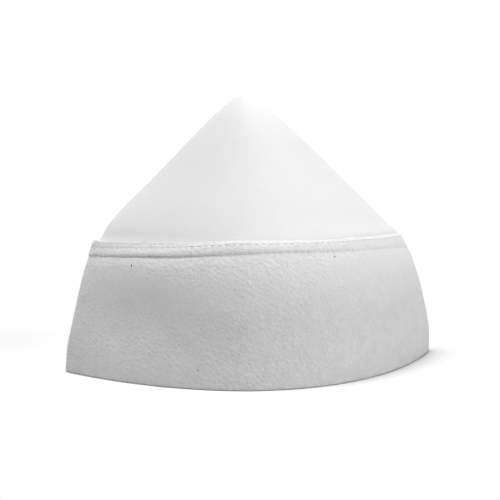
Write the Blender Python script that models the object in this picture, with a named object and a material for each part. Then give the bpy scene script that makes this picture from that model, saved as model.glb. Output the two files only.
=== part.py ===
"""A pointed prayer cap in thick white fleece.

The cap is two pieces of cloth. The crown is a hollow cone with a crease down its front and a crease down
its back, so that the cap folds flat between them. The band is a doubled strip of the same fleece. Its
folded top edge, the lip, laps over the crown's lower edge and is held there by two rows of stitches: the
lower row pulls the band in to a groove, and the cloth between the rows stands out as a welt.

The frame is in metres with +Z up. The origin is at the middle of the cap's footprint on the ground. The
front crease is at -X, the back crease at +X, and the wearer's left side is at -Y.
"""

from collections import namedtuple
import math

import bmesh
import bpy
from mathutils import Vector

COLLECTION_NAME = "Prayer cap"

# Cloth
CROWN_WALL = 0.0020
BAND_WALL = 0.0032
SEAM_GAP = 0.0004
CREASE_RADIUS = 0.0030
CORNER_RATIO = 1.12
HEM_RADIUS = 0.0008

# Heights
CROWN_EDGE_HEIGHT = 0.0600
TUCK_HEIGHT = 0.0660
LIP_HEIGHT = 0.0730
LIP_RADIUS = 0.0015
PEAK_HEIGHT = 0.1542

# Each section is an outline seen from above: how far it reaches from the peak's axis to the front crease
# and to the back crease, and how far to either side.
Section = namedtuple("Section", "height front back half_width")

BAND_SECTIONS = (
    Section(height=0.0000, front=0.1048, back=0.1122, half_width=0.0887),
    Section(height=0.0140, front=0.1034, back=0.1127, half_width=0.0865),
    Section(height=0.0320, front=0.0997, back=0.1096, half_width=0.0835),
    Section(height=0.0500, front=0.0952, back=0.1049, half_width=0.0796),
    Section(height=0.0640, front=0.0907, back=0.0994, half_width=0.0757),
    Section(height=0.0730, front=0.0876, back=0.0929, half_width=0.0733),
)

CROWN_SECTIONS = (
    Section(height=0.0746, front=0.0837, back=0.0917, half_width=0.0696),
    Section(height=0.0800, front=0.0801, back=0.0856, half_width=0.0659),
    Section(height=0.0900, front=0.0713, back=0.0754, half_width=0.0583),
    Section(height=0.1040, front=0.0568, back=0.0607, half_width=0.0467),
    Section(height=0.1180, front=0.0427, back=0.0462, half_width=0.0353),
    Section(height=0.1320, front=0.0286, back=0.0316, half_width=0.0239),
    Section(height=0.1420, front=0.0184, back=0.0201, half_width=0.0153),
    Section(height=0.1490, front=0.0101, back=0.0110, half_width=0.0084),
    Section(height=0.1532, front=0.0043, back=0.0047, half_width=0.0036),
)

# How far the band's outer face stands off its plain line, from the puff below the lower row of stitches
# up over the groove, the welt and the dent of the upper row to the lip.
Relief = namedtuple("Relief", "height stand_off")

BAND_RELIEF = (
    Relief(height=0.0550, stand_off=0.0000),
    Relief(height=0.0610, stand_off=0.0004),
    Relief(height=0.0632, stand_off=-0.0004),
    Relief(height=0.0640, stand_off=-0.0014),
    Relief(height=0.0648, stand_off=-0.0006),
    Relief(height=0.0668, stand_off=0.0006),
    Relief(height=0.0692, stand_off=0.0001),
    Relief(height=0.0702, stand_off=-0.0005),
    Relief(height=0.0713, stand_off=-0.0001),
)

# Broad soft dents where the cloth has slumped: the turn is the angle round the cap from the back crease.
Dent = namedtuple("Dent", "turn_deg height spread_deg rise depth")

DENTS = (
    Dent(turn_deg=216, height=0.030, spread_deg=15, rise=0.017, depth=0.0016),
    Dent(turn_deg=246, height=0.016, spread_deg=12, rise=0.014, depth=0.0010),
    Dent(turn_deg=38, height=0.034, spread_deg=16, rise=0.018, depth=0.0014),
    Dent(turn_deg=140, height=0.030, spread_deg=14, rise=0.018, depth=0.0014),
)

# Mesh
COLUMNS = 64
BAND_HEIGHTS = (0.008, 0.016, 0.024, 0.032, 0.040, 0.048)
BAND_LINING_HEIGHTS = (0.060, 0.048, 0.032, 0.016)
CROWN_HEIGHTS = (0.0765, 0.0800, 0.0850, 0.0900, 0.0970, 0.1040, 0.1110, 0.1180, 0.1250, 0.1320, 0.1370,
                 0.1420, 0.1460, 0.1490, 0.1514, 0.1532)
CROWN_LINING_HEIGHTS = (0.1508, 0.1490, 0.1460, 0.1420, 0.1370, 0.1320, 0.1250, 0.1180, 0.1110, 0.1040,
                        0.0970, 0.0900, 0.0850, 0.0800, 0.0760)
SLOPE_STEP = 0.0015

# Colours
CROWN_COLOUR = (0.86, 0.86, 0.87, 1.0)
BAND_COLOUR = (0.82, 0.82, 0.83, 1.0)
FLEECE_ROUGHNESS = 0.95

FRONT_REACH = max(section.front for section in BAND_SECTIONS)
BACK_REACH = max(section.back for section in BAND_SECTIONS)
PEAK_X = (FRONT_REACH - BACK_REACH) / 2


def clear_scene():
    """Remove every object that the new scene starts with."""
    for thing in list(bpy.data.objects):
        bpy.data.objects.remove(thing, do_unlink=True)


def fleece(name, colour):
    """Return a matt cloth material of one colour."""
    material = bpy.data.materials.new(name)
    material.use_nodes = True
    shader = material.node_tree.nodes["Principled BSDF"]
    shader.inputs["Base Color"].default_value = colour
    shader.inputs["Roughness"].default_value = FLEECE_ROUGHNESS
    shader.inputs["Metallic"].default_value = 0.0
    material.diffuse_color = colour
    return material


def smooth_between(rows, height):
    """Return the section at a height, on a smooth curve through the rows of a table."""
    height = min(max(height, rows[0].height), rows[-1].height)
    upper = next(i for i in range(1, len(rows)) if height <= rows[i].height)
    lower = upper - 1
    step = rows[upper].height - rows[lower].height
    t = (height - rows[lower].height) / step

    def slope(i, column):
        before, after = rows[max(i - 1, 0)], rows[min(i + 1, len(rows) - 1)]
        return (after[column] - before[column]) / (after.height - before.height)

    def value(column):
        start, end = rows[lower][column], rows[upper][column]
        leave, arrive = slope(lower, column) * step, slope(upper, column) * step
        return (start * (1 + 2 * t) * (1 - t) ** 2 + leave * t * (1 - t) ** 2
                + end * t * t * (3 - 2 * t) - arrive * t * t * (1 - t))

    return Section(height, value(1), value(2), value(3))


def moved_out(section, distance):
    """Return a section whose outline stands a distance further out, a little more at the creases."""
    return Section(section.height, section.front + CORNER_RATIO * distance,
                   section.back + CORNER_RATIO * distance, section.half_width + distance)


def band_line(height):
    """Return the band's outer section at a height, without its relief."""
    return smooth_between(BAND_SECTIONS, height)


def band_lining(height):
    """Return the band's inner section at a height."""
    return moved_out(band_line(height), -BAND_WALL)


def crown_tuck(height):
    """Return the crown's outer section at a height where it lies behind the band."""
    return moved_out(band_lining(height), -SEAM_GAP)


def crown_line(height):
    """Return the crown's outer section at a height above the lip."""
    return smooth_between(CROWN_SECTIONS, height)


def crown_lining(height):
    """Return the crown's inner section at a height above the lip, a wall's thickness in from the outer."""
    here = crown_line(height)
    below, above = crown_line(height - SLOPE_STEP), crown_line(height + SLOPE_STEP)

    def inner(column):
        slope = (above[column] - below[column]) / (above.height - below.height)
        return here[column] - CROWN_WALL * math.sqrt(1 + slope * slope)

    return Section(height, inner(1), inner(2), inner(3))


def dent_depth(turn, height):
    """Return how far the cloth is pushed in at an angle round the cap and a height."""
    depth = 0.0
    for dent in DENTS:
        round_cap = (math.degrees(turn) - dent.turn_deg) / dent.spread_deg
        up = (height - dent.height) / dent.rise
        depth += dent.depth * math.exp(-round_cap ** 2 - up ** 2)
    return depth


def outline_point(section, turn):
    """Return the point of a section at an angle round the cap from the back crease.

    Each side of the outline is a parabola from crease to crease, and the creases are rounded to
    CREASE_RADIUS. Near the peak the rounding takes up the whole outline, which is then an ellipse.
    """
    along, across = math.cos(turn), math.sin(turn)
    reach = section.back if along > 0 else section.front
    rounded_share = min(CREASE_RADIUS * reach / section.half_width ** 2, 0.98)
    soft = rounded_share / (1 - rounded_share)
    side = section.half_width * across * math.sqrt((across ** 2 + soft) / (1 + soft))
    flat = Vector((reach * along, side, 0))
    kept = 1 - dent_depth(turn, section.height) / flat.length
    return Vector((PEAK_X + flat.x * kept, flat.y * kept, section.height))


def outline(section):
    """Return the points of a section, once round the cap."""
    return [outline_point(section, math.tau * i / COLUMNS) for i in range(COLUMNS)]


def band_outlines():
    """Return the band's outlines: up its outer face, over the lip, down its inner face, under the hem."""
    hem_bevel = HEM_RADIUS * (1 - math.sqrt(0.5))
    lip_bevel = LIP_RADIUS * (1 - math.sqrt(0.5))
    outer = [moved_out(band_line(0), -HEM_RADIUS),
             moved_out(band_line(hem_bevel), -hem_bevel),
             band_line(HEM_RADIUS)]
    outer += [band_line(height) for height in BAND_HEIGHTS]
    outer += [moved_out(band_line(relief.height), relief.stand_off) for relief in BAND_RELIEF]
    lip_shoulder, lip_corner = LIP_HEIGHT - LIP_RADIUS, LIP_HEIGHT - lip_bevel
    lip = [moved_out(band_line(lip_corner), -lip_bevel),
           moved_out(band_line(LIP_HEIGHT), -BAND_WALL / 2),
           moved_out(band_lining(lip_corner), lip_bevel),
           band_lining(lip_shoulder)]
    inner = [band_lining(TUCK_HEIGHT)] + [band_lining(height) for height in BAND_LINING_HEIGHTS]
    inner += [band_lining(HEM_RADIUS),
              moved_out(band_lining(hem_bevel), hem_bevel),
              moved_out(band_lining(0), HEM_RADIUS)]
    return [outline(section) for section in outer + lip + inner]


def crown_outlines():
    """Return the crown's outer outlines from its edge up to the peak, and its inner ones back down."""
    lip_shoulder = LIP_HEIGHT - LIP_RADIUS
    tucked = [crown_tuck(height) for height in (CROWN_EDGE_HEIGHT, TUCK_HEIGHT, lip_shoulder)]
    outer = tucked + [crown_tuck(LIP_HEIGHT), CROWN_SECTIONS[0]]
    outer += [crown_line(height) for height in CROWN_HEIGHTS]
    inner = [crown_lining(height) for height in CROWN_LINING_HEIGHTS]
    inner += [moved_out(section, -CROWN_WALL) for section in reversed(tucked)]
    return [outline(section) for section in outer], [outline(section) for section in inner]


def add_ring(mesh, points):
    """Add the vertices of one outline."""
    return [mesh.verts.new(point) for point in points]


def join_rings(mesh, lower, upper):
    """Join two outlines, of which the second lies further up the outer face, with a row of faces."""
    for i in range(COLUMNS):
        j = (i + 1) % COLUMNS
        mesh.faces.new((lower[i], lower[j], upper[j], upper[i]))


def build_object(name, mesh, material, collection):
    """Make an object from a finished mesh, shaded smooth except at its hard edges."""
    data = bpy.data.meshes.new(name)
    mesh.to_mesh(data)
    mesh.free()
    data.materials.append(material)
    data.shade_smooth()
    data.set_sharp_from_angle(angle=math.radians(50))
    thing = bpy.data.objects.new(name, data)
    collection.objects.link(thing)
    return thing


def build_band(collection):
    """Build the doubled band as one closed sleeve of cloth."""
    mesh = bmesh.new()
    rings = [add_ring(mesh, points) for points in band_outlines()]
    for lower, upper in zip(rings, rings[1:] + rings[:1]):
        join_rings(mesh, lower, upper)
    return build_object("band", mesh, fleece("band_fleece", BAND_COLOUR), collection)


def build_crown(collection):
    """Build the crown as one closed shell: its outer face, its inner face and the edge between them."""
    mesh = bmesh.new()
    outer_outlines, inner_outlines = crown_outlines()
    outer = [add_ring(mesh, points) for points in outer_outlines]
    inner = [add_ring(mesh, points) for points in inner_outlines]
    for lower, upper in zip(outer, outer[1:]):
        join_rings(mesh, lower, upper)
    for upper, lower in zip(inner, inner[1:]):
        join_rings(mesh, upper, lower)
    join_rings(mesh, inner[-1], outer[0])
    peak = mesh.verts.new((PEAK_X, 0, PEAK_HEIGHT))
    under_peak = mesh.verts.new((PEAK_X, 0, PEAK_HEIGHT - CROWN_WALL))
    for i in range(COLUMNS):
        j = (i + 1) % COLUMNS
        mesh.faces.new((outer[-1][i], outer[-1][j], peak))
        mesh.faces.new((inner[0][j], inner[0][i], under_peak))
    return build_object("crown", mesh, fleece("crown_fleece", CROWN_COLOUR), collection)


def main():
    """Build the cap."""
    clear_scene()
    collection = bpy.data.collections.new(COLLECTION_NAME)
    bpy.context.scene.collection.children.link(collection)
    build_band(collection)
    build_crown(collection)


main()
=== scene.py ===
"""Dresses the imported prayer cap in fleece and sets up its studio.

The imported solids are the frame: the crown and the band here are fine meshes that stand where those solids
stand and take their sizes from them. What is added is what a needle and a cutting table leave in cloth:
the groove, the welt and the puckers along the two rows of topstitching, the threads themselves, the soft
slumps of a doubled band that holds itself up, and the nap.

All lengths are in metres. A turn is an angle round the cap from its back crease (+X) by way of +Y, so the
front crease (-X) is at half a turn and the wearer's left side (-Y) at three quarters.
"""

from bisect import bisect_left
from dataclasses import dataclass, field
from enum import Enum
import logging
import math
from typing import Callable, NamedTuple, Sequence

import bmesh
import bpy
from mathutils import Matrix, Vector, noise


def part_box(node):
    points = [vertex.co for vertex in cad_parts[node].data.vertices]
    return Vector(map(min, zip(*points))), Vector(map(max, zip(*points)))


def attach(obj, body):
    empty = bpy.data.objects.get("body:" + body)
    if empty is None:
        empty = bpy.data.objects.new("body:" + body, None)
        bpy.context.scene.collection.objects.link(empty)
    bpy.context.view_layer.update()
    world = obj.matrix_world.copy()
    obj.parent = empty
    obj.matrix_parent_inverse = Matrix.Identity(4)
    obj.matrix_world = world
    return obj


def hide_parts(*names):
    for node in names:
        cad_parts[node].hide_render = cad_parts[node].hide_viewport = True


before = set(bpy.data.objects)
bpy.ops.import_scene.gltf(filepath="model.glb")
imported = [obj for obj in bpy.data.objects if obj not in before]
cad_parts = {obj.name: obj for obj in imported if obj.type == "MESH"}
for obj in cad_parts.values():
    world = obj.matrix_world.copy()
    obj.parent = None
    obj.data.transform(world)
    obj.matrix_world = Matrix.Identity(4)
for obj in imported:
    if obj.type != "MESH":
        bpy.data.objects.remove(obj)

LOG = logging.getLogger("prayer_cap")
ROOT_BODY = "root"
UP = Vector((0.0, 0.0, 1.0))

# How much further a thicker cloth's outline moves out at the creases than at the sides.
CREASE_CORNER = 1.12

# Points that lie nearer to each other than this are one.
MERGED = 1e-7

Colour = tuple[float, float, float, float]


class Level(NamedTuple):
    """One level of the cap's form, as shares of the frame's height and reaches."""

    height: float
    front: float
    back: float
    side: float


class Section(NamedTuple):
    """The outline of the cap at one height: how far it reaches from the peak's axis, in metres."""

    height: float
    front: float
    back: float
    side: float

    def moved_out(self, distance: float) -> "Section":
        """Return the section with its outline further out, a little more at the creases."""
        crease = CREASE_CORNER * distance
        return Section(self.height, self.front + crease, self.back + crease, self.side + distance)


class SeamMark(NamedTuple):
    """How the stitched edge lies at one turn; the drops are measured down from the band's highest edge."""

    turn_deg: float
    lower_drop: float
    upper_drop: float
    lip_drop: float
    ledge: float
    pull: float


class Relief(NamedTuple):
    """How far the band's face stands off its plain form, a drop below its edge.

    The stitches' pull scales the stand-off. The lean is how far the sides lie out (or in, below nothing)
    where the crown draws the band's edge in and the band bellies out under it. It dies out at the creases,
    and the lean inwards is calmer towards the back.
    """

    drop: float
    stand_off: float
    lean: float


class Face(Enum):
    """The side of the cloth that a grid row is on."""

    OUTER = "outer"
    EDGE = "edge"
    INNER = "inner"


class Stop(NamedTuple):
    """One row of a cloth grid: its nominal height, how deep it lies in the wall, and its face."""

    height: float
    inset: float
    face: Face


@dataclass(frozen=True)
class Slump:
    """A broad, shallow hollow in the band, longer one way than the other; a swell has a negative depth."""

    turn_deg: float
    height: float
    length: float
    width: float
    lean_deg: float
    depth: float

    def pushed_in(self, along: float, height: float) -> float:
        """Return how far the cloth is pushed in.

        Args:
            along: The distance round the cap from the slump's middle.
            height: The height above the ground.

        Returns:
            The depth of the slump there.
        """
        lean = math.radians(self.lean_deg)
        up = height - self.height
        lengthwise = (along * math.cos(lean) + up * math.sin(lean)) / self.length
        widthwise = (up * math.cos(lean) - along * math.sin(lean)) / self.width
        return self.depth * math.exp(-lengthwise ** 2 - widthwise ** 2)


@dataclass(frozen=True)
class Ripple:
    """The small unevenness of soft cloth: broad waves and fine ones, each with a depth and a length."""

    depth: float
    length: float
    fine_depth: float
    fine_length: float

    def at(self, place: Vector) -> float:
        """Return how far the cloth stands off at a place."""
        broad = self.depth * noise.noise(place / self.length)
        return broad + self.fine_depth * noise.noise(place / self.fine_length)


# Each level's height, front, back and side, as shares.
BAND_LEVELS = (
    Level(0.000, 1.001, 0.996, 1.001),
    Level(0.192, 0.988, 1.000, 0.976),
    Level(0.438, 0.952, 0.973, 0.942),
    Level(0.685, 0.909, 0.931, 0.898),
    Level(0.877, 0.866, 0.882, 0.854),
    Level(1.000, 0.837, 0.824, 0.827),
)

CROWN_LEVELS = (
    Level(0.000, 0.8220, 0.8225, 0.7985),
    Level(0.020, 0.8080, 0.8140, 0.7855),
    Level(0.086, 0.7660, 0.7600, 0.7380),
    Level(0.209, 0.6810, 0.6690, 0.6500),
    Level(0.382, 0.5420, 0.5390, 0.5220),
    Level(0.554, 0.4080, 0.4100, 0.3960),
    Level(0.727, 0.2730, 0.2800, 0.2690),
    Level(0.850, 0.1760, 0.1780, 0.1730),
    Level(0.936, 0.0970, 0.0980, 0.0950),
    Level(0.988, 0.0410, 0.0420, 0.0410),
)

# Each mark's turn in degrees, drops of the lower row, the upper row and the lip, ledge and pull.
SEAM_MARKS = (
    SeamMark(0, 0.0090, 0.0022, 0.0001, 0.0001, 0.16),
    SeamMark(20, 0.0088, 0.0024, 0.0004, 0.0002, 0.18),
    SeamMark(45, 0.0083, 0.0028, 0.0010, 0.0002, 0.20),
    SeamMark(80, 0.0078, 0.0027, 0.0012, 0.0003, 0.26),
    SeamMark(115, 0.0078, 0.0027, 0.0010, 0.0007, 0.45),
    SeamMark(135, 0.0084, 0.0034, 0.0012, 0.0007, 0.75),
    SeamMark(150, 0.0086, 0.0042, 0.0009, 0.0009, 0.75),
    SeamMark(163, 0.0088, 0.0040, 0.0004, 0.0015, 0.75),
    SeamMark(172, 0.0090, 0.0034, 0.0000, 0.0027, 0.80),
    SeamMark(180, 0.0092, 0.0030, 0.0000, 0.0033, 0.85),
    SeamMark(188, 0.0090, 0.0034, 0.0000, 0.0027, 0.80),
    SeamMark(197, 0.0088, 0.0040, 0.0004, 0.0015, 0.75),
    SeamMark(212, 0.0087, 0.0042, 0.0008, 0.0008, 0.75),
    SeamMark(226, 0.0086, 0.0041, 0.0012, 0.0006, 0.75),
    SeamMark(237, 0.0085, 0.0039, 0.0013, 0.0006, 0.75),
    SeamMark(246, 0.0082, 0.0032, 0.0012, 0.0006, 0.64),
    SeamMark(257, 0.0076, 0.0025, 0.0009, 0.0006, 0.48),
    SeamMark(270, 0.0071, 0.0028, 0.0012, 0.0004, 0.30),
    SeamMark(284, 0.0076, 0.0029, 0.0013, 0.0003, 0.23),
    SeamMark(302, 0.0078, 0.0028, 0.0010, 0.0002, 0.20),
    SeamMark(322, 0.0083, 0.0025, 0.0008, 0.0002, 0.18),
    SeamMark(342, 0.0088, 0.0023, 0.0004, 0.0002, 0.16),
    SeamMark(360, 0.0090, 0.0022, 0.0001, 0.0001, 0.16),
)

# Each row's drop, stand-off and lean.
EDGE_RELIEF = (
    Relief(0.00000, -0.00005, -0.00190),
    Relief(0.00090, -0.00005, -0.00184),
    Relief(0.00150, -0.00005, -0.00170),
    Relief(0.00210, 0.00000, -0.00148),
    Relief(0.00270, 0.00000, -0.00123),
    Relief(0.00310, -0.00005, -0.00107),
    Relief(0.00340, -0.00014, -0.00096),
    Relief(0.00370, -0.00005, -0.00085),
    Relief(0.00430, 0.00014, -0.00062),
    Relief(0.00520, 0.00030, -0.00034),
    Relief(0.00610, 0.00040, -0.00014),
    Relief(0.00690, 0.00038, -0.00002),
    Relief(0.00740, 0.00027, 0.00000),
    Relief(0.00770, 0.00008, 0.00000),
    Relief(0.00795, -0.00022, 0.00000),
    Relief(0.00820, -0.00054, 0.00000),
    Relief(0.00840, -0.00076, 0.00000),
    Relief(0.00865, -0.00074, 0.00004),
    Relief(0.00910, -0.00060, 0.00014),
    Relief(0.00990, -0.00034, 0.00032),
    Relief(0.01100, -0.00010, 0.00054),
    Relief(0.01260, 0.00005, 0.00078),
    Relief(0.01520, 0.00012, 0.00098),
    Relief(0.01950, 0.00005, 0.00108),
    Relief(0.02400, 0.00000, 0.00098),
    Relief(0.03000, 0.00000, 0.00066),
    Relief(0.03700, 0.00000, 0.00028),
    Relief(0.04500, 0.00000, 0.00000),
)

# Each slump's turn in degrees, height, length, width, lean in degrees and depth.
BAND_SLUMPS = (
    Slump(223, 0.035, 0.029, 0.018, -8, 0.0038),
    Slump(246, 0.016, 0.020, 0.014, 0, 0.0010),
    Slump(38, 0.034, 0.028, 0.018, 0, 0.0014),
    Slump(140, 0.030, 0.025, 0.018, 0, 0.0014),
    Slump(238, 0.023, 0.015, 0.0040, -34, 0.0005),
    Slump(232, 0.038, 0.018, 0.0060, -40, 0.0004),
    Slump(221, 0.021, 0.010, 0.0045, -28, 0.0005),
    Slump(206, 0.044, 0.016, 0.0070, 60, 0.0005),
    Slump(305, 0.020, 0.018, 0.0050, -38, 0.0005),
    Slump(284, 0.046, 0.022, 0.0080, -12, -0.0004),
    Slump(118, 0.040, 0.020, 0.0060, 32, 0.0005),
    Slump(66, 0.022, 0.018, 0.0060, -24, 0.0005),
    Slump(96, 0.014, 0.024, 0.0070, 10, 0.0004),
)


class Curve:
    """A smooth curve through the rows of a table, whose first column is the place along it."""

    def __init__(self, rows: Sequence[tuple[float, ...]]) -> None:
        """Keep the rows and work out the slope of each column at each of them."""
        self.rows = tuple(rows)
        self.places = [row[0] for row in rows]
        self.slopes = [self._slopes(i) for i in range(len(rows))]
        self.known: dict[float, tuple[float, ...]] = {}

    def _slopes(self, i: int) -> tuple[float, ...]:
        """Return the slopes of the columns at a row, from the rows beside it."""
        before, after = self.rows[max(i - 1, 0)], self.rows[min(i + 1, len(self.rows) - 1)]
        return tuple((b - a) / (after[0] - before[0]) for a, b in zip(before, after))

    def at(self, place: float) -> tuple[float, ...]:
        """Return the columns at a place.

        Args:
            place: The place along the curve; outside the table it is held at the table's end.

        Returns:
            Every column there, the place itself first.
        """
        place = min(max(place, self.places[0]), self.places[-1])
        if place not in self.known:
            upper = max(bisect_left(self.places, place), 1)
            lower = upper - 1
            step = self.places[upper] - self.places[lower]
            t = (place - self.places[lower]) / step
            shares = ((1 + 2 * t) * (1 - t) ** 2, t * t * (3 - 2 * t),
                      t * (1 - t) ** 2 * step, -t * t * (1 - t) * step)
            columns = zip(self.rows[lower], self.rows[upper], self.slopes[lower], self.slopes[upper])
            self.known[place] = tuple(sum(a * b for a, b in zip(shares, column)) for column in columns)
        return self.known[place]


def hump(distance: float, width: float) -> float:
    """Return a smooth bump of height 1 at distance 0 that fades over a width."""
    return math.exp(-(distance / width) ** 2)


@dataclass(frozen=True)
class Dent:
    """The dent that a needle hole makes above and below its row: a narrow pit in a wider dip."""

    pit: float
    pit_width: float
    dip: float
    dip_width: float

    def at(self, distance: float) -> float:
        """Return the dent, as a share of a pucker's depth, at a distance from the row."""
        return self.pit * hump(distance, self.pit_width) + self.dip * hump(distance, self.dip_width)


def eased(amount: float) -> float:
    """Return an amount, held between 0 and 1, with a soft start and a soft end."""
    amount = min(max(amount, 0.0), 1.0)
    return amount * amount * (3 - 2 * amount)


def evenly(start: float, end: float, step: float) -> list[float]:
    """Return values from start towards end, about a step apart, without the end itself."""
    count = max(1, round(abs(end - start) / step))
    return [start + (end - start) * i / count for i in range(count)]


@dataclass(frozen=True)
class CapForm:
    """The plain form of the cap, without stitches or slumps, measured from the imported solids."""

    peak: Vector
    front_reach: float
    back_reach: float
    side_reach: float
    lip_height: float
    crown_edge: float
    crease_radius: float = 0.0030
    band_wall: float = 0.0032
    crown_wall: float = 0.0020
    seam_gap: float = 0.0004
    most_rounding: float = 0.98

    @classmethod
    def from_frame(cls) -> "CapForm":
        """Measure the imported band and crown."""
        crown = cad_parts["crown"]
        peak = max((crown.matrix_world @ vertex.co for vertex in crown.data.vertices), key=lambda p: p.z)
        band_low, band_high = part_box("band")
        crown_low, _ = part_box("crown")
        return cls(peak=peak.copy(), front_reach=peak.x - band_low[0], back_reach=band_high[0] - peak.x,
                   side_reach=band_high[1], lip_height=band_high[2], crown_edge=crown_low[2])

    def sections(self, levels: Sequence[Level], bottom: float, top: float) -> list[Section]:
        """Turn a table of shares into sections.

        Args:
            levels: The rows of shares.
            bottom: The height that a share of 0 stands for.
            top: The height that a share of 1 stands for.

        Returns:
            The sections in metres.
        """
        return [Section(bottom + (top - bottom) * level.height, self.front_reach * level.front,
                        self.back_reach * level.back, self.side_reach * level.side) for level in levels]

    def point(self, section: Section, turn: float) -> Vector:
        """Return the point of a section at a turn.

        Each side of the outline is a parabola from crease to crease, and the creases are rounded. Near the
        peak the rounding takes up the whole outline, which is then an ellipse.

        Args:
            section: The outline at the point's height.
            turn: The angle round the cap.

        Returns:
            The point in the frame.
        """
        along, across = math.cos(turn), math.sin(turn)
        reach = section.back if along > 0 else section.front
        share = min(self.crease_radius * reach / section.side ** 2, self.most_rounding)
        soft = share / (1 - share)
        side = section.side * across * math.sqrt((across ** 2 + soft) / (1 + soft))
        return Vector((self.peak.x + reach * along, self.peak.y + side, section.height))

    def outward(self, section: Section, turn: float) -> Vector:
        """Return the level direction that faces away from the cap at a turn."""
        step = 0.004
        ahead = self.point(section, turn + step) - self.point(section, turn - step)
        return ahead.cross(UP).normalized()


@dataclass(frozen=True)
class Lap:
    """Distances round the cap along one outline, so that columns and stitches can be evenly spaced."""

    turns: tuple[float, ...]
    distances: tuple[float, ...]

    @classmethod
    def along(cls, form: CapForm, section: Section, count: int = 1440) -> "Lap":
        """Walk once round a section and note the distance at each turn.

        Args:
            form: The cap's form.
            section: The outline to walk along.
            count: The number of steps.

        Returns:
            The distances of the whole lap.
        """
        turns = [math.tau * i / count for i in range(count + 1)]
        distances = [0.0]
        last = form.point(section, 0.0)
        for turn in turns[1:]:
            here = form.point(section, turn)
            distances.append(distances[-1] + (here - last).length)
            last = here
        return cls(tuple(turns), tuple(distances))

    @property
    def length(self) -> float:
        """Return the whole way round."""
        return self.distances[-1]

    def turn_at(self, distance: float) -> float:
        """Return the turn at a distance round the cap."""
        return self._read(self.distances, self.turns, distance % self.length)

    def distance_at(self, turn: float) -> float:
        """Return the distance round the cap at a turn."""
        return self._read(self.turns, self.distances, turn % math.tau)

    def even_turns(self, count: int) -> list[float]:
        """Return the turns of points that lie evenly round the cap."""
        return [self.turn_at(self.length * i / count) for i in range(count)]

    @staticmethod
    def _read(keys: Sequence[float], values: Sequence[float], key: float) -> float:
        """Return the value at a key, between the two rows beside it."""
        i = min(max(bisect_left(keys, key), 1), len(keys) - 1)
        share = (key - keys[i - 1]) / (keys[i] - keys[i - 1])
        return values[i - 1] + (values[i] - values[i - 1]) * share


def wrapped_cloth(name: str, turns: Sequence[float], stops: Sequence[Stop],
                  place: Callable[[float, Stop], Vector], closed: bool) -> bpy.types.Object:
    """Wrap a grid of cloth round the cap.

    Args:
        name: The object's name.
        turns: The turn of each column.
        stops: The rows, in the order in which the cloth runs up its outer face.
        place: Gives the point of a turn and a row.
        closed: True where the last row meets the first again.

    Returns:
        The cloth, closed and facing out.
    """
    columns, rows = len(turns), len(stops) if closed else len(stops) - 1
    mesh = bmesh.new()
    bmesh.ops.create_grid(mesh, x_segments=columns, y_segments=rows, size=0.5)
    for vertex in mesh.verts:
        column = round((vertex.co.x + 0.5) * columns) % columns
        row = round((vertex.co.y + 0.5) * rows) % len(stops)
        vertex.co = place(turns[column], stops[row])
    bmesh.ops.remove_doubles(mesh, verts=mesh.verts[:], dist=MERGED)
    return finished(name, mesh)


def finished(name: str, mesh: bmesh.types.BMesh) -> bpy.types.Object:
    """Make a smooth-shaded object, at the origin, from a finished mesh."""
    data = bpy.data.meshes.new(name)
    mesh.to_mesh(data)
    mesh.free()
    data.shade_smooth()
    thing = bpy.data.objects.new(name, data)
    bpy.context.scene.collection.objects.link(thing)
    return thing


class Signal:
    """A shader socket that takes part in arithmetic: each operation adds its Math node."""

    def __init__(self, bench: "Bench", socket: bpy.types.NodeSocket) -> None:
        """Wrap an output socket of a bench's node tree."""
        self.bench = bench
        self.socket = socket

    def _math(self, operation: str, first: "Signal | float", second: "Signal | float") -> "Signal":
        """Return the result of a Math node."""
        made = self.bench.node("ShaderNodeMath", {"operation": operation}, {0: first, 1: second})
        return Signal(self.bench, made.outputs[0])

    def __add__(self, other: "Signal | float") -> "Signal":
        """Return self + other."""
        return self._math("ADD", self, other)

    __radd__ = __add__

    def __sub__(self, other: "Signal | float") -> "Signal":
        """Return self - other."""
        return self._math("SUBTRACT", self, other)

    def __rsub__(self, other: "Signal | float") -> "Signal":
        """Return other - self."""
        return self._math("SUBTRACT", other, self)

    def __mul__(self, other: "Signal | float") -> "Signal":
        """Return self * other."""
        return self._math("MULTIPLY", self, other)

    __rmul__ = __mul__


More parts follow.
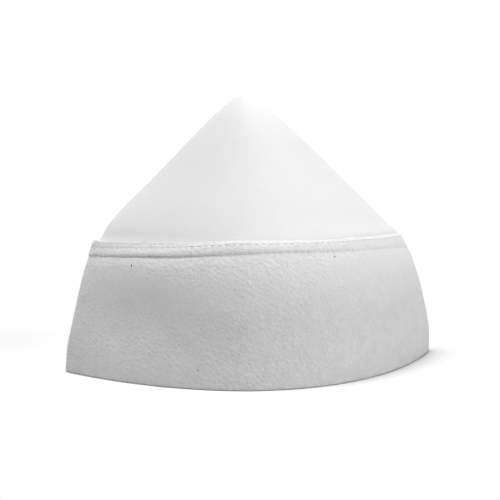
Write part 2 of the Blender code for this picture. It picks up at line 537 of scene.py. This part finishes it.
class Bench:
    """A node tree in the making."""

    def __init__(self, tree: bpy.types.NodeTree) -> None:
        """Work on a node tree."""
        self.tree = tree

    def node(self, kind: str, settings: dict, inputs: dict) -> bpy.types.Node:
        """Add a node.

        Args:
            kind: The node's type.
            settings: The node's own settings by name, which are set before its sockets.
            inputs: Values or signals by socket name or number.

        Returns:
            The node.
        """
        made = self.tree.nodes.new(kind)
        for name, value in settings.items():
            setattr(made, name, value)
        for key, value in inputs.items():
            self.feed(made.inputs[key], value)
        return made

    def feed(self, socket: bpy.types.NodeSocket, value: "Signal | float | Sequence[float]") -> None:
        """Link a signal to a socket, or set the socket's own value."""
        if isinstance(value, Signal):
            self.tree.links.new(value.socket, socket)
        else:
            socket.default_value = value

    def along(self, direction: Signal, axis: Sequence[float]) -> Signal:
        """Return how far a direction points along an axis, from -1 to 1."""
        made = self.node("ShaderNodeVectorMath", {"operation": "DOT_PRODUCT"}, {0: direction, 1: axis})
        return Signal(self, made.outputs["Value"])

    def rising(self, value: Signal, start: float, end: float, top: float = 1.0) -> Signal:
        """Return a soft rise from 0 to a top while a value goes from start to end."""
        made = self.node("ShaderNodeMapRange", {"interpolation_type": "SMOOTHSTEP"},
                         {"Value": value, "From Min": start, "From Max": end, "To Min": 0.0, "To Max": top})
        return Signal(self, made.outputs["Result"])

    def stretched(self, place: Signal, scale: Sequence[float], turned: Sequence[float]) -> Signal:
        """Return a place on which a pattern is drawn out along its axes and then turned."""
        made = self.node("ShaderNodeMapping", {"vector_type": "TEXTURE"},
                         {"Vector": place, "Rotation": turned, "Scale": scale})
        return Signal(self, made.outputs["Vector"])

    def grain(self, place: Signal, size: float, detail: float = 3.0, roughness: float = 0.55,
              distortion: float = 0.0) -> Signal:
        """Return noise.

        Args:
            place: The place that the noise is read at.
            size: How broad its patches are, in metres.
            detail: How many finer layers it has.
            roughness: How much each finer layer counts.
            distortion: How far its patches are bent.

        Returns:
            The noise, about 0.5 on the whole.
        """
        made = self.node("ShaderNodeTexNoise", {"noise_dimensions": "3D"},
                         {"Vector": place, "Scale": 1.0 / size, "Detail": detail, "Roughness": roughness,
                          "Distortion": distortion})
        return Signal(self, made.outputs[0])

    def colour_between(self, amount: Signal, first: "Signal | Sequence[float]",
                       second: "Signal | Sequence[float]") -> Signal:
        """Return a colour between two, by an amount from 0 to 1."""
        made = self.node("ShaderNodeMix", {"data_type": "RGBA"}, {0: amount, 6: first, 7: second})
        return Signal(self, made.outputs[2])


class Dressing(Bench):
    """The node tree of one material, with its Principled shader."""

    def __init__(self, name: str) -> None:
        """Start a material."""
        self.material = bpy.data.materials.new(name)
        self.material.use_nodes = True
        super().__init__(self.material.node_tree)
        self.shader = self.tree.nodes["Principled BSDF"]

    def place(self) -> Signal:
        """Return the place on the object, in metres."""
        return Signal(self, self.node("ShaderNodeTexCoord", {}, {}).outputs["Object"])

    def dress(self, socket: str, value: Signal | float | Sequence[float]) -> None:
        """Link a signal to one of the shader's sockets, or set the socket's own value."""
        self.feed(self.shader.inputs[socket], value)

    def raised(self, height: Signal, distance: float, strength: float) -> None:
        """Feed a height pattern to the shader's normal."""
        made = self.node("ShaderNodeBump", {},
                         {"Height": height, "Distance": distance, "Strength": strength})
        self.tree.links.new(made.outputs["Normal"], self.shader.inputs["Normal"])


@dataclass(frozen=True)
class FleeceFinish:
    """A matt white fleece with a short felted nap, painted paler between two heights: painted light, where
    more light falls from above.
    """

    name: str
    light: Colour
    shade: Colour
    # The painted light: the paler tone that stands in for more light from above, the heights over which it
    # comes in, and how much of it.
    painted_light: Colour
    painted_light_between: tuple[float, float]
    nap_depth: float
    nap_strength: float
    painted_light_share: float = 0.9
    patch_share: float = 0.25
    patch_size: float = 0.0080
    patch_edges: tuple[float, float] = (0.35, 0.65)
    nap_share: float = 0.6
    nap_size: float = 0.0016
    nap_edges: tuple[float, float] = (0.20, 0.80)
    fibre_size: float = 0.0007
    lean: tuple[float, float, float] = (0.0, math.radians(28), 0.0)
    stretch: tuple[float, float, float] = (1.3, 1.0, 1.0)

    def material(self) -> bpy.types.Material:
        """Return the fleece's material."""
        bench = Dressing(self.name)
        place = bench.place()
        leaning = bench.stretched(place, self.stretch, self.lean)
        patches = bench.rising(bench.grain(place, self.patch_size, detail=2.0), *self.patch_edges)
        nap = bench.grain(leaning, self.nap_size, roughness=0.6, distortion=0.3)
        nap = bench.rising(nap, *self.nap_edges)
        fibres = bench.grain(leaning, self.fibre_size, roughness=0.7, distortion=0.8)
        felt = nap * self.nap_share + fibres * (1 - self.nap_share)
        tone = patches * self.patch_share + felt * (1 - self.patch_share)
        # Painted light: the colour turns paler upwards between the two heights, standing in for the
        # stronger light on the upper cloth.
        painted_light_mask = bench.rising(bench.along(place, UP), *self.painted_light_between, self.painted_light_share)
        plain = bench.colour_between(tone, self.shade, self.light)
        bench.dress("Base Color", bench.colour_between(painted_light_mask, plain, self.painted_light))
        bench.raised(felt, self.nap_depth, self.nap_strength)
        bench.dress("Roughness", 0.95)
        bench.dress("Specular IOR Level", 0.15)
        bench.dress("Sheen Weight", 0.06)
        bench.dress("Sheen Roughness", 0.6)
        return bench.material


@dataclass(frozen=True)
class MottledFinish:
    """A finish that goes unevenly between two near tones, and may be raised with them."""

    name: str
    light: Colour
    shade: Colour
    mottle_size: float
    roughness: float
    specular: float = 0.5
    mottle_roughness: float = 0.55
    raised: float = 0.0
    raised_strength: float = 0.6

    def material(self) -> bpy.types.Material:
        """Return the finish's material."""
        bench = Dressing(self.name)
        mottle = bench.grain(bench.place(), self.mottle_size, detail=2.0, roughness=self.mottle_roughness)
        bench.dress("Base Color", bench.colour_between(mottle, self.shade, self.light))
        if self.raised:
            bench.raised(mottle, self.raised, self.raised_strength)
        bench.dress("Roughness", self.roughness)
        bench.dress("Specular IOR Level", self.specular)
        return bench.material


# The band is painted paler from its upper wall up to the lip: painted light, full on the welt and lip.
BAND_FLEECE = FleeceFinish(name="band_fleece",
                           light=(0.865, 0.865, 0.87, 1.0), shade=(0.785, 0.785, 0.79, 1.0),
                           painted_light=(0.93, 0.93, 0.935, 1.0), painted_light_between=(0.026, 0.063),
                           nap_depth=0.0009, nap_strength=0.9)
# The crown is painted paler towards the peak: painted light on its top.
CROWN_FLEECE = FleeceFinish(name="crown_fleece",
                            light=(0.87, 0.87, 0.875, 1.0), shade=(0.85, 0.85, 0.855, 1.0),
                            painted_light=(0.90, 0.90, 0.905, 1.0), painted_light_between=(0.120, 0.150),
                            nap_depth=0.0002, nap_strength=0.2)
SEWING_THREAD = MottledFinish(name="sewing_thread",
                              light=(0.91, 0.91, 0.91, 1.0), shade=(0.81, 0.81, 0.81, 1.0),
                              mottle_size=0.00028, mottle_roughness=0.6, roughness=0.7, raised=0.00008)
CAUGHT_LINT = MottledFinish(name="caught_lint",
                            light=(0.16, 0.15, 0.15, 1.0), shade=(0.04, 0.04, 0.04, 1.0),
                            mottle_size=0.0004, roughness=0.9)
FLOOR_PAPER = MottledFinish(name="floor_paper",
                            light=(0.88, 0.88, 0.88, 1.0), shade=(0.86, 0.86, 0.86, 1.0),
                            mottle_size=0.12, roughness=1.0, specular=0.0)


@dataclass(frozen=True)
class Bearing:
    """What depends on the turn alone: the seam's mark, the needle holes and the ways to the slumps."""

    turn: float
    mark: SeamMark
    lower_hole: float
    upper_hole: float
    slack: float
    slump_distances: tuple[float, ...]


@dataclass
class Band:
    """The doubled band: hem, wall, groove, welt and lip in one closed sleeve of cloth."""

    form: CapForm
    columns: int = 960
    wall_step: float = 0.0025
    shoulder_step: float = 0.0011
    welt_step: float = 0.00045
    row_step: float = 0.00020
    lining_step: float = 0.0050
    fold_rows: int = 9
    fold_fullness: float = 0.7
    hem_radius: float = 0.0013
    ripple: Ripple = Ripple(depth=0.00035, length=0.026, fine_depth=0.00012, fine_length=0.009)
    calm_height: float = 0.012
    slump_reach: float = 2.5
    stitch_pitch: float = 0.0038
    upper_drop: float = 0.0034
    dent_drop: float = 0.00425
    welt_drop: float = 0.007224
    lower_drop: float = 0.0084
    groove_drop: float = 0.009408
    shoulder_drop: float = 0.01218
    settled_drop: float = 0.0250
    relief_drop: float = 0.0450
    lower_dent: Dent = Dent(pit=1.0, pit_width=0.0008, dip=0.5, dip_width=0.0024)
    upper_dent: Dent = Dent(pit=0.49, pit_width=0.0006, dip=0.21, dip_width=0.0012)
    pucker_depth: float = 0.00045
    least_pucker: float = 0.2
    hole_width: float = 0.22
    hole_drift: float = 0.15
    hole_pull: float = 0.85
    hole_unevenness: float = 0.9
    upper_shift: float = 0.4
    slack_waves: float = 3.1
    slack_share: float = 0.25
    crease_calm: float = 0.55
    calm_power: int = 6
    crease_power: int = 12
    back_calm: float = 0.55
    back_width: float = 1.3
    profile: Curve = field(init=False)
    marks: Curve = field(init=False)
    relief_curve: Curve = field(init=False)
    lap: Lap = field(init=False)
    stitch_count: int = field(init=False)
    bearings: dict[float, Bearing] = field(default_factory=dict, repr=False)

    def __post_init__(self) -> None:
        """Work out the profile, the way round and how many whole stitches go round."""
        self.profile = Curve(self.form.sections(BAND_LEVELS, 0.0, self.form.lip_height))
        self.marks = Curve(SEAM_MARKS)
        self.relief_curve = Curve(EDGE_RELIEF)
        self.lap = Lap.along(self.form, self.section_at(self.form.lip_height - self.lower_drop))
        self.stitch_count = round(self.lap.length / self.stitch_pitch)

    def section_at(self, height: float) -> Section:
        """Return the plain outer section at a height."""
        return Section(*self.profile.at(height))

    def bearing(self, turn: float) -> Bearing:
        """Return what depends on the turn alone.

        Args:
            turn: The angle round the cap.

        Returns:
            The bearing, which is worked out once for each turn.
        """
        if turn not in self.bearings:
            distance, half = self.lap.distance_at(turn), self.lap.length / 2
            slump_distances = []
            for slump in BAND_SLUMPS:
                along = distance - self.lap.distance_at(math.radians(slump.turn_deg))
                slump_distances.append((along + half) % self.lap.length - half)
            mark = SeamMark(*self.marks.at(math.degrees(turn) % 360))
            slack = noise.noise(Vector((math.cos(turn), math.sin(turn), 0.3)) * self.slack_waves)
            self.bearings[turn] = Bearing(turn, mark, self.hole(distance, 0.0),
                                          self.hole(distance, self.upper_shift), slack,
                                          tuple(slump_distances))
        return self.bearings[turn]

    def hole(self, distance: float, shift: float) -> float:
        """Return how near a place is to a needle hole of a row.

        Args:
            distance: The distance round the cap.
            shift: How far the row's holes lie from the lower row's, in stitches.

        Returns:
            About 1 at a hole, and 0 midway between two.
        """
        # The plain numbers in the noise's places only keep its readings apart.
        steps = distance / self.lap.length * self.stitch_count + shift
        number = round(steps) % self.stitch_count
        drift = self.hole_drift * noise.noise(Vector((number * 1.7, shift * 31.0, 0.5)))
        uneven = self.hole_unevenness * noise.noise(Vector((number * 0.93, 7.0 + shift, 2.5)))
        return (self.hole_pull + uneven) * hump(steps - round(steps) - drift, self.hole_width)

    def settled(self, nominal: float, mark: SeamMark) -> float:
        """Return the height that a nominal height has settled to.

        Args:
            nominal: The height of a row on a band whose stitching lies level.
            mark: How the stitched edge lies at the row's turn.

        Returns:
            The row's height above the ground.
        """
        lip = self.form.lip_height
        nominals = (lip - self.settled_drop, lip - self.lower_drop, lip - self.upper_drop, lip)
        places = (nominals[0], lip - mark.lower_drop, lip - mark.upper_drop, lip - mark.lip_drop)
        if nominal <= nominals[0]:
            return nominal
        upper = next((i for i in (1, 2) if nominal <= nominals[i]), 3)
        share = (nominal - nominals[upper - 1]) / (nominals[upper] - nominals[upper - 1])
        return places[upper - 1] + (places[upper] - places[upper - 1]) * share

    def relief(self, nominal: float, bearing: Bearing) -> float:
        """Return how far the outer face stands off its plain form: the groove, the welt and the puckers.

        Args:
            nominal: The nominal height.
            bearing: What the seam does at this turn.

        Returns:
            The stand-off, outwards.
        """
        drop = self.form.lip_height - nominal
        if drop > self.relief_drop:
            return 0.0
        _, stand_off, lean = self.relief_curve.at(drop)
        along, pull = abs(math.cos(bearing.turn)), bearing.mark.pull
        if lean < 0:
            lean *= 1 - self.back_calm * eased(self.back_width * math.cos(bearing.turn))
        stand_off *= pull * (1 + self.slack_share * bearing.slack)
        stand_off *= 1 - self.crease_calm * along ** self.calm_power
        stand_off += lean * (1 - along ** self.crease_power)
        depth = self.pucker_depth * (self.least_pucker + (1 - self.least_pucker) * pull)
        lower = bearing.lower_hole * self.lower_dent.at(drop - self.lower_drop)
        upper = bearing.upper_hole * self.upper_dent.at(drop - self.upper_drop)
        return stand_off - depth * (lower + upper)

    def slump(self, bearing: Bearing, height: float) -> float:
        """Return how far the band's slumps push the cloth in."""
        return sum(slump.pushed_in(along, height)
                   for slump, along in zip(BAND_SLUMPS, bearing.slump_distances)
                   if abs(along) < self.slump_reach * (slump.length + slump.width))

    def waviness(self, at: Vector) -> float:
        """Return the small unevenness of soft cloth, which dies out towards the ground."""
        return min(1.0, at.z / self.calm_height) * self.ripple.at(at)

    def lip_edge(self, turn: float) -> Vector:
        """Return the point where the outer face, carried straight up, would reach the lip's height."""
        section = self.section_at(self.form.lip_height)
        stand_off = self.relief(self.form.lip_height, self.bearing(turn))
        return self.form.point(section, turn) + self.form.outward(section, turn) * stand_off

    def place(self, turn: float, stop: Stop) -> Vector:
        """Return a point of the cloth.

        Args:
            turn: The angle round the cap.
            stop: The row of the cloth.

        Returns:
            The point in the frame.
        """
        bearing = self.bearing(turn)
        section = self.section_at(stop.height)
        plain = self.form.point(section.moved_out(-stop.inset), turn)
        plain.z = self.settled(stop.height, bearing.mark)
        shift = self.waviness(plain) - self.slump(bearing, plain.z)
        if stop.face is not Face.INNER:
            shift += self.relief(stop.height, bearing) * (1 - stop.inset / self.form.band_wall)
        return plain + self.form.outward(section, turn) * shift

    def fold(self, centre: float, radius: float, start: float) -> list[Stop]:
        """Return the rows of a fold between the wall's two faces.

        Args:
            centre: The height of the fold's centre.
            radius: Half the fold's height.
            start: The angle at which the fold starts.

        Returns:
            The fold's rows, without the last.
        """
        half = self.form.band_wall / 2
        angles = [start + math.pi * i / self.fold_rows for i in range(self.fold_rows)]
        return [Stop(centre + radius * self.filled(math.sin(angle)),
                     half - half * self.filled(math.cos(angle)), Face.EDGE) for angle in angles]

    def filled(self, share: float) -> float:
        """Return a sine or cosine drawn towards 1 or -1, which makes a round fold a fuller one."""
        return math.copysign(abs(share) ** self.fold_fullness, share)

    def stops(self) -> list[Stop]:
        """Return the cloth's rows: up the outer face, over the lip, down the lining and under the hem."""
        wall, lip = self.form.band_wall, self.form.lip_height
        lip_fold, free = lip - wall / 2, lip - self.settled_drop
        shoulder, groove = lip - self.shoulder_drop, lip - self.groove_drop
        welt, upper = lip - self.welt_drop, lip - self.dent_drop
        outer = evenly(self.hem_radius, free, self.wall_step) + evenly(free, shoulder, self.shoulder_step)
        outer += evenly(shoulder, groove, self.welt_step) + evenly(groove, welt, self.row_step)
        outer += evenly(welt, upper, self.welt_step) + evenly(upper, lip_fold, self.row_step)
        lining = evenly(lip_fold, self.hem_radius, self.lining_step)
        return ([Stop(z, 0.0, Face.OUTER) for z in outer] + self.fold(lip_fold, wall / 2, 0.0)
                + [Stop(z, wall, Face.INNER) for z in lining]
                + self.fold(self.hem_radius, self.hem_radius, math.pi))

    def build(self) -> bpy.types.Object:
        """Build the band, dressed and riding on the cap's body."""
        turns = self.lap.even_turns(self.columns)
        cloth = wrapped_cloth("band_cloth", turns, self.stops(), self.place, closed=True)
        cloth.data.materials.append(BAND_FLEECE.material())
        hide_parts("band")
        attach(cloth, ROOT_BODY)
        return cloth


@dataclass
class Crown:
    """The hollow, cone-shaped crown in one layer of cloth, tucked behind the band's lip."""

    form: CapForm
    band: Band
    columns: int = 560
    tuck_step: float = 0.0025
    roll_step: float = 0.00022
    lap_step: float = 0.0008
    cone_step: float = 0.0018
    lining_step: float = 0.0035
    roll_start: float = 0.0016
    roll_height: float = 0.0006
    swell_height: float = 0.0060
    sinking_height: float = 0.0200
    lap_height: float = 0.0100
    lining_start: float = 0.0042
    lining_share: float = 0.8
    tip_rows: int = 6
    tip_reach: float = 1e-6
    slope_step: float = 0.0015
    calm_height: float = 0.006
    calm_reach: float = 0.020
    ripple: Ripple = Ripple(depth=0.00020, length=0.032, fine_depth=0.00006, fine_length=0.011)
    profile: Curve = field(init=False)
    lap: Lap = field(init=False)
    swells: dict[float, float] = field(default_factory=dict, repr=False)
    sections: dict[float, Section] = field(default_factory=dict, repr=False)

    def __post_init__(self) -> None:
        """Work out the profile and the way round."""
        self.profile = Curve(self.form.sections(CROWN_LEVELS, self.form.lip_height, self.form.peak.z))
        self.lap = Lap.along(self.form, Section(*self.profile.rows[1]))

    def section_at(self, height: float) -> Section:
        """Return the plain outer section at a height, behind the band or above its lip."""
        if height not in self.sections:
            self.sections[height] = self._section_at(height)
        return self.sections[height]

    def _section_at(self, height: float) -> Section:
        """Work out the plain outer section at a height.

        Args:
            height: The height above the ground.

        Returns:
            The section; over the last level it closes roundly to the peak.
        """
        first, second, last = (Section(*self.profile.rows[i]) for i in (0, 1, -1))
        if height > last.height:
            shrink = math.sqrt(max(self.form.peak.z - height, 0.0) / (self.form.peak.z - last.height))
            return Section(height, last.front * shrink, last.back * shrink, last.side * shrink)
        if height >= first.height:
            return Section(*self.profile.at(height))
        share = self.emerged(height)
        beyond = (height - first.height) / (second.height - first.height)
        tucked = self.band.section_at(min(height, self.form.lip_height))
        tucked = tucked.moved_out(-self.form.band_wall - self.form.seam_gap)
        reaches = ((a + (b - a) * beyond) * share + c * (1 - share)
                   for a, b, c in zip(first[1:], second[1:], tucked[1:]))
        return Section(height, *reaches)

    def emerged(self, height: float) -> float:
        """Return how far the crown has come out from behind the band at a height, from 0 to 1."""
        above = height - self.form.lip_height
        return eased((above + self.roll_start) / (self.roll_start - self.roll_height))

    def swell(self, turn: float) -> float:
        """Return how the crown moves to meet the band's lip.

        Args:
            turn: The angle round the cap.

        Returns:
            How far it moves out, or in, so that the ledge of that turn is left.
        """
        if turn not in self.swells:
            section = self.section_at(self.form.lip_height)
            gap = self.band.lip_edge(turn) - self.form.point(section, turn)
            recess = gap.dot(self.form.outward(section, turn))
            self.swells[turn] = recess - self.band.bearing(turn).mark.ledge
        return self.swells[turn]

    def place(self, turn: float, stop: Stop) -> Vector:
        """Return a point of the cloth.

        Args:
            turn: The angle round the cap.
            stop: The row of the cloth.

        Returns:
            The point in the frame.
        """
        peak, step = self.form.peak, self.slope_step
        if stop.face is Face.INNER and stop.height >= peak.z:
            return Vector((peak.x, peak.y, peak.z - self.form.crown_wall))
        section = self.section_at(stop.height)
        if section.side < self.tip_reach:
            return peak.copy()
        rise = self.section_at(stop.height - step).side - self.section_at(stop.height + step).side
        lean = rise / (2 * step)
        inset = stop.inset
        if stop.face is Face.INNER:
            inset = min(inset * math.hypot(1.0, lean), section.side * self.lining_share)
        plain = self.form.point(section.moved_out(-inset), turn)
        level = self.form.outward(section, turn)
        outward = (level + UP * lean).normalized()
        above = stop.height - self.form.lip_height
        free = eased(above / self.calm_height) * min(1.0, section.side / self.calm_reach)
        shift = self.ripple.at(plain) * free
        roll = self.emerged(stop.height) * hump(max(above, 0.0), self.swell_height)
        sunk = self.band.bearing(turn).mark.lip_drop * hump(above, self.sinking_height)
        return plain + outward * shift + level * roll * self.swell(turn) - UP * sunk

    def stops(self) -> list[Stop]:
        """Return the rows of the cloth, from under the peak down the lining, round the edge and up."""
        edge, lip, top = self.form.crown_edge, self.form.lip_height, self.form.peak.z
        wall, last = self.form.crown_wall, self.profile.places[-1]
        inner = [Stop(top, wall, Face.INNER)]
        lining = evenly(top - self.lining_start, edge, self.lining_step)
        inner += [Stop(z, wall, Face.INNER) for z in lining]
        rim = [Stop(edge, wall, Face.INNER), Stop(edge, wall / 2, Face.EDGE)]
        roll_foot, roll_top, lap_top = lip - self.roll_start, lip - self.roll_height, lip + self.lap_height
        outer = evenly(edge, roll_foot, self.tuck_step) + evenly(roll_foot, roll_top, self.roll_step)
        outer += evenly(roll_top, lap_top, self.lap_step) + evenly(lap_top, last, self.cone_step)
        outer += [top - (top - last) * (1 - i / self.tip_rows) ** 2 for i in range(self.tip_rows + 1)]
        return inner + rim + [Stop(z, 0.0, Face.OUTER) for z in outer]

    def build(self) -> bpy.types.Object:
        """Build the crown, dressed and riding on the cap's body."""
        turns = self.lap.even_turns(self.columns)
        cloth = wrapped_cloth("crown_cloth", turns, self.stops(), self.place, closed=False)
        cloth.data.materials.append(CROWN_FLEECE.material())
        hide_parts("crown")
        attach(cloth, ROOT_BODY)
        return cloth


class StitchLine(Enum):
    """The rows of topstitching: each shows on the band outside and on the crown's tucked edge inside."""

    LOWER_OUTSIDE = "lower_outside"
    UPPER_OUTSIDE = "upper_outside"
    LOWER_INSIDE = "lower_inside"
    UPPER_INSIDE = "upper_inside"

    @property
    def is_lower(self) -> bool:
        """Return whether this is the row in the groove."""
        return self in (StitchLine.LOWER_OUTSIDE, StitchLine.LOWER_INSIDE)

    @property
    def is_outside(self) -> bool:
        """Return whether this row shows on the band."""
        return self in (StitchLine.LOWER_OUTSIDE, StitchLine.UPPER_OUTSIDE)


@dataclass
class Topstitching:
    """One row of topstitching: a short bridge of thread from each needle hole to the next."""

    band: Band
    crown: Crown
    line: StitchLine
    thread_radius: float = 0.00022
    sides: int = 6
    rings: int = 9
    rise: float = 0.00010
    dive: float = 0.00065
    taper: float = 1.6
    hole_share: float = 0.06

    def seat(self, distance: float) -> tuple[Vector, Vector]:
        """Return where a thread lies on the cloth.

        Args:
            distance: The distance along the row.

        Returns:
            The point of the cloth's surface, and the way that the surface faces.
        """
        turn = self.band.lap.turn_at(distance)
        drop = self.band.lower_drop if self.line.is_lower else self.band.upper_drop
        height = self.band.form.lip_height - drop
        outward = self.band.form.outward(self.band.section_at(height), turn)
        if self.line.is_outside:
            return self.band.place(turn, Stop(height, 0.0, Face.OUTER)), outward
        return self.crown.place(turn, Stop(height, self.band.form.crown_wall, Face.INNER)), -outward

    def add_stitch(self, mesh: bmesh.types.BMesh, start: float, end: float) -> None:
        """Add one bridge of thread, whose ends dive into their holes.

        Args:
            mesh: The mesh that the row is gathered in.
            start: The distance along the row of the first hole.
            end: The distance along the row of the next hole.
        """
        sleeve = bmesh.ops.create_grid(mesh, x_segments=self.rings, y_segments=self.sides, size=0.5)
        for vertex in sleeve["verts"]:
            share, angle = vertex.co.x + 0.5, math.tau * vertex.co.y
            arch = math.sin(math.pi * share)
            seat, outward = self.seat(start + (end - start) * share)
            lift = self.rise - self.dive * (1 - arch) ** 2
            radius = self.thread_radius * min(1.0, self.taper * arch) ** 0.5
            vertex.co = seat + outward * (lift + math.cos(angle) * radius) + UP * math.sin(angle) * radius

    def build(self) -> bpy.types.Object:
        """Build the row, dressed and riding on the cap's body."""
        mesh = bmesh.new()
        pitch = self.band.lap.length / self.band.stitch_count
        shift = 0.0 if self.line.is_lower else self.band.upper_shift
        for number in range(self.band.stitch_count):
            start, end = number - shift + self.hole_share, number - shift + 1 - self.hole_share
            self.add_stitch(mesh, start * pitch, end * pitch)
        bmesh.ops.remove_doubles(mesh, verts=mesh.verts[:], dist=MERGED)
        bmesh.ops.recalc_face_normals(mesh, faces=mesh.faces[:])
        row = finished(f"topstitching_{self.line.value}", mesh)
        row.data.materials.append(SEWING_THREAD.material())
        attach(row, ROOT_BODY)
        return row


class Speck(NamedTuple):
    """One speck of lint on the band: its turn, its height, its length and its lean."""

    turn_deg: float
    height: float
    length: float
    lean_deg: float


@dataclass
class Lint:
    """A few specks of dark lint, caught in the nap of the band."""

    band: Band
    # Each speck's turn in degrees, height, length and lean in degrees.
    specks: tuple[Speck, ...] = (
        Speck(221.6, 0.0596, 0.0019, 97),
        Speck(246.5, 0.0092, 0.0012, 80),
        Speck(288.0, 0.0620, 0.0012, 150),
        Speck(72.0, 0.0410, 0.0009, 35),
    )
    radius: float = 0.00020

    def build(self) -> bpy.types.Object:
        """Build the specks, dressed and riding on the cap's body."""
        mesh = bmesh.new()
        for speck in self.specks:
            turn = math.radians(speck.turn_deg)
            seat = self.band.place(turn, Stop(speck.height, 0.0, Face.OUTER))
            outward = self.band.form.outward(self.band.section_at(speck.height), turn)
            tangent = UP.cross(outward).normalized()
            lean = math.radians(speck.lean_deg)
            along = tangent * math.cos(lean) + UP * math.sin(lean)
            across = outward.cross(along)
            axes = (along * speck.length / 2, across * self.radius, outward * self.radius)
            turned = Matrix(axes).transposed()
            bmesh.ops.create_icosphere(mesh, subdivisions=2, radius=1.0,
                                       matrix=Matrix.Translation(seat) @ turned.to_4x4())
        specks = finished("caught_lint", mesh)
        specks.data.materials.append(CAUGHT_LINT.material())
        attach(specks, ROOT_BODY)
        return specks


class Glow(NamedTuple):
    """A soft round patch of light in the room: which way it lies, how far it spreads and its strength.

    The spread is given as the cosines of the angles at which the patch begins and at which it is full.
    """

    axis: tuple[float, float, float]
    edge: tuple[float, float]
    light: float

    @property
    def axis_direction(self) -> Vector:
        """Return the axis as a unit vector."""
        return Vector(self.axis).normalized()


@dataclass
class Studio:
    """A pale paper floor in a white room with a lit ceiling, and the camera."""

    form: CapForm
    camera_turn_deg: float = -11.9
    camera_distance: float = 0.4908
    camera_height: float = 0.0822
    aim_height: float = 0.0648
    aim_aside: float = 0.0020
    roll_deg: float = -1.28
    lens: float = 60.8
    floor_radius: float = 12.0
    contrast: float = 0.68
    room_tone: float = 1.03
    backdrop: Glow = Glow(axis=(0.20, 1.0, 0.08), edge=(0.72, 0.93), light=0.30)
    ceiling: Glow = Glow(axis=(0.0, 0.0, 1.0), edge=(0.90, 0.99), light=5.85)
    rear_light: Glow = Glow(axis=(0.0, 0.42, 0.90), edge=(0.90, 0.99), light=0.9)
    left_light: Glow = Glow(axis=(-0.42, 0.10, 0.90), edge=(0.90, 0.99), light=3.6)
    window: Glow = Glow(axis=(0.70, -0.70, 0.04), edge=(0.80, 0.99), light=3.5)
    side_light: Glow = Glow(axis=(-0.90, 0.75, 0.20), edge=(0.88, 0.99), light=0.6)

    def add_floor(self) -> None:
        """Add the paper floor, so wide that its edge is out of sight."""
        mesh = bmesh.new()
        bmesh.ops.create_circle(mesh, cap_ends=True, segments=96, radius=self.floor_radius)
        floor = finished("paper_floor", mesh)
        floor.data.materials.append(FLOOR_PAPER.material())

    def add_room(self) -> None:
        """Light the cap with soft glows, in a room that looks evenly white from every side."""
        world = bpy.data.worlds.new("white_room")
        world.use_nodes = True
        bench = Bench(world.node_tree)
        direction = Signal(bench, bench.node("ShaderNodeTexCoord", {}, {}).outputs["Generated"])
        facing = bench.along(direction, self.backdrop.axis_direction)
        light = bench.rising(facing, *self.backdrop.edge, self.backdrop.light)
        for glow in (self.ceiling, self.rear_light, self.left_light, self.window, self.side_light):
            facing = bench.along(direction, glow.axis_direction)
            light = light + bench.rising(facing, *glow.edge, glow.light)
        seen = Signal(bench, bench.node("ShaderNodeLightPath", {}, {}).outputs["Is Camera Ray"])
        bench.feed(world.node_tree.nodes["Background"].inputs["Strength"],
                   seen * self.room_tone + (1.0 - seen) * light)
        bench.feed(world.node_tree.nodes["Background"].inputs["Color"], (1.0, 1.0, 1.0, 1.0))
        bpy.context.scene.world = world
        bpy.context.scene.view_settings.view_transform = "Standard"
        bpy.context.scene.view_settings.gamma = self.contrast

    def add_camera(self) -> None:
        """Add the camera at the photograph's angle to the cap, above the floor."""
        bearing = math.radians(self.camera_turn_deg)
        axis = Vector((self.form.peak.x, self.form.peak.y, 0.0))
        place = axis + Vector((math.sin(bearing), -math.cos(bearing), 0.0)) * self.camera_distance
        place.z = self.camera_height
        aside = Vector((math.cos(bearing), math.sin(bearing), 0.0)) * self.aim_aside
        aim = axis + aside + UP * self.aim_height - place
        roll = Matrix.Rotation(math.radians(self.roll_deg), 3, "Z")
        turned = aim.to_track_quat("-Z", "Y").to_matrix() @ roll
        data = bpy.data.cameras.new("camera")
        data.lens = self.lens
        data.sensor_width = 36.0
        data.clip_start, data.clip_end = 0.01, 20.0
        camera = bpy.data.objects.new("camera", data)
        camera.matrix_world = Matrix.Translation(place) @ turned.to_4x4()
        bpy.context.scene.collection.objects.link(camera)
        bpy.context.scene.camera = camera

    def build(self) -> None:
        """Set up the whole studio."""
        self.add_floor()
        self.add_room()
        self.add_camera()


def report(piece: bpy.types.Object) -> None:
    """Log the size of a finished piece."""
    triangles = sum(len(face.vertices) - 2 for face in piece.data.polygons)
    sides = [round(1000 * side) for side in piece.dimensions]
    LOG.info("%s: %d triangles, %s mm", piece.name, triangles, sides)


def main() -> None:
    """Build the cap's pieces and the studio."""
    logging.basicConfig(level=logging.INFO, format="%(name)s: %(message)s")
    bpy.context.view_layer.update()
    form = CapForm.from_frame()
    Studio(form).build()
    band = Band(form)
    crown = Crown(form, band)
    report(band.build())
    report(crown.build())
    for line in StitchLine:
        report(Topstitching(band, crown, line).build())
    report(Lint(band).build())


if __name__ == "__main__":
    main()
